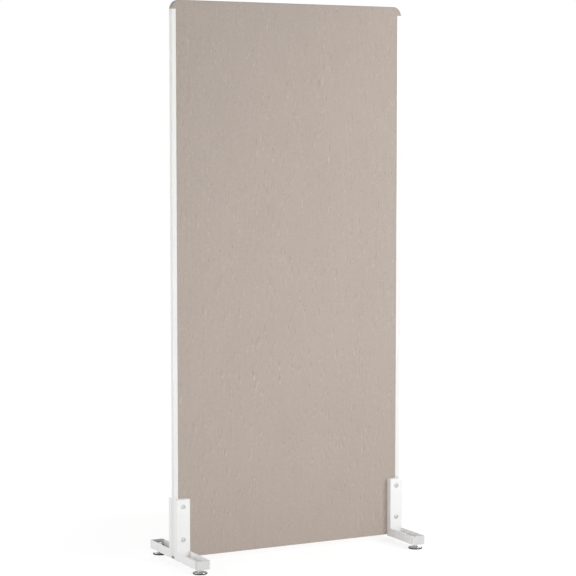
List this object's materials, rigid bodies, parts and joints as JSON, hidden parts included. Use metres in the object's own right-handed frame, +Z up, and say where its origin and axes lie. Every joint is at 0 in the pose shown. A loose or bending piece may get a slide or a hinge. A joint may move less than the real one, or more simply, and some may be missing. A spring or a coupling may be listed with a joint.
{
  "type": "privacy screen",
  "caption": "Free-standing privacy screen: a tall cloth-covered panel with white side profiles, clamped in L-shaped channel brackets on levelling feet.",
  "frame": {"origin": "on the floor, under the middle of the panel", "axes": "+X along the width to the right seen from the front, +Y to the rear, +Z up"},
  "size_m": [0.8, 0.35, 1.72],
  "materials": {
    "cloth": "felted wool-blend cloth",
    "core_felt": "pressed fibre",
    "frame_timber": "planed",
    "dowel_timber": "fluted beech",
    "white_profile": "white satin coat",
    "white_coat": "white powder coat",
    "grey_plastic": "light grey, moulded",
    "dark_plastic": "dark grey, moulded",
    "bolt_steel": "zinc plated",
    "zinc_steel": "zinc plated",
    "plated_steel": "nickel plated",
    "pad_rubber": "black rubber"
  },
  "bodies": {
    "screen": {"acoustic_core": "core_felt", "beam_end_cap_front_left": "grey_plastic", "beam_end_cap_front_right": "grey_plastic", "beam_end_cap_rear_left": "grey_plastic", "beam_end_cap_rear_right": "grey_plastic", "bolt_spacers_front_left": "zinc_steel", "bolt_spacers_front_right": "zinc_steel", "bolt_spacers_rear_left": "zinc_steel", "bolt_spacers_rear_right": "zinc_steel", "clamp_bolts_left": "bolt_steel", "clamp_bolts_right": "bolt_steel", "clamp_washers_left": "zinc_steel", "clamp_washers_right": "zinc_steel", "dome_nuts_left": "bolt_steel", "dome_nuts_right": "bolt_steel", "fabric_cover": "cloth", "foot_bracket_front_left": "white_coat", "foot_bracket_front_right": "white_coat", "foot_bracket_rear_left": "white_coat", "foot_bracket_rear_right": "white_coat", "frame_bottom_rail": "frame_timber", "frame_dowels": "dowel_timber", "frame_stile_left": "frame_timber", "frame_stile_right": "frame_timber", "frame_top_rail": "frame_timber", "panel_sleeves_left": "zinc_steel", "panel_sleeves_right": "zinc_steel", "pressure_plate_front_left": "white_coat", "pressure_plate_front_right": "white_coat", "pressure_plate_rear_left": "white_coat", "pressure_plate_rear_right": "white_coat", "profile_end_cap_left": "dark_plastic", "profile_end_cap_right": "dark_plastic", "side_profile_left": "white_profile", "side_profile_right": "white_profile", "upright_top_cap_front_left": "white_coat", "upright_top_cap_front_right": "white_coat", "upright_top_cap_rear_left": "white_coat", "upright_top_cap_rear_right": "white_coat", "weld_nut_front_left": "white_coat", "weld_nut_front_right": "white_coat", "weld_nut_rear_left": "white_coat", "weld_nut_rear_right": "white_coat"},
    "foot_front_left": {"leveller_disc_front_left": "plated_steel", "leveller_pad_front_left": "pad_rubber"},
    "stud_front_left": {"leveller_stud_front_left": "zinc_steel"},
    "foot_front_right": {"leveller_disc_front_right": "plated_steel", "leveller_pad_front_right": "pad_rubber"},
    "stud_front_right": {"leveller_stud_front_right": "zinc_steel"},
    "foot_rear_left": {"leveller_disc_rear_left": "plated_steel", "leveller_pad_rear_left": "pad_rubber"},
    "stud_rear_left": {"leveller_stud_rear_left": "zinc_steel"},
    "foot_rear_right": {"leveller_disc_rear_right": "plated_steel", "leveller_pad_rear_right": "pad_rubber"},
    "stud_rear_right": {"leveller_stud_rear_right": "zinc_steel"}
  },
  "joints": [
    {"name": "lift_front_left", "type": "slide", "parent": "screen", "child": "foot_front_left", "axis": [0, 0, -1], "range_m": [0, 0.012]},
    {"name": "screw_front_left", "type": "hinge", "parent": "foot_front_left", "child": "stud_front_left", "pos_m": [-0.378, -0.15, 0.02], "axis": [0, 0, -1], "range_deg": [0, 3457]},
    {"name": "lift_front_right", "type": "slide", "parent": "screen", "child": "foot_front_right", "axis": [0, 0, -1], "range_m": [0, 0.012]},
    {"name": "screw_front_right", "type": "hinge", "parent": "foot_front_right", "child": "stud_front_right", "pos_m": [0.378, -0.15, 0.02], "axis": [0, 0, -1], "range_deg": [0, 3457]},
    {"name": "lift_rear_left", "type": "slide", "parent": "screen", "child": "foot_rear_left", "axis": [0, 0, -1], "range_m": [0, 0.012]},
    {"name": "screw_rear_left", "type": "hinge", "parent": "foot_rear_left", "child": "stud_rear_left", "pos_m": [-0.378, 0.15, 0.02], "axis": [0, 0, -1], "range_deg": [0, 3457]},
    {"name": "lift_rear_right", "type": "slide", "parent": "screen", "child": "foot_rear_right", "axis": [0, 0, -1], "range_m": [0, 0.012]},
    {"name": "screw_rear_right", "type": "hinge", "parent": "foot_rear_right", "child": "stud_rear_right", "pos_m": [0.378, 0.15, 0.02], "axis": [0, 0, -1], "range_deg": [0, 3457]}
  ],
  "couplings": [
    {"joint": "screw_front_left", "follows": "lift_front_left", "rad_per_m": 5026.5},
    {"joint": "screw_front_right", "follows": "lift_front_right", "rad_per_m": 5026.5},
    {"joint": "screw_rear_left", "follows": "lift_rear_left", "rad_per_m": 5026.5},
    {"joint": "screw_rear_right", "follows": "lift_rear_right", "rad_per_m": 5026.5}
  ]
}
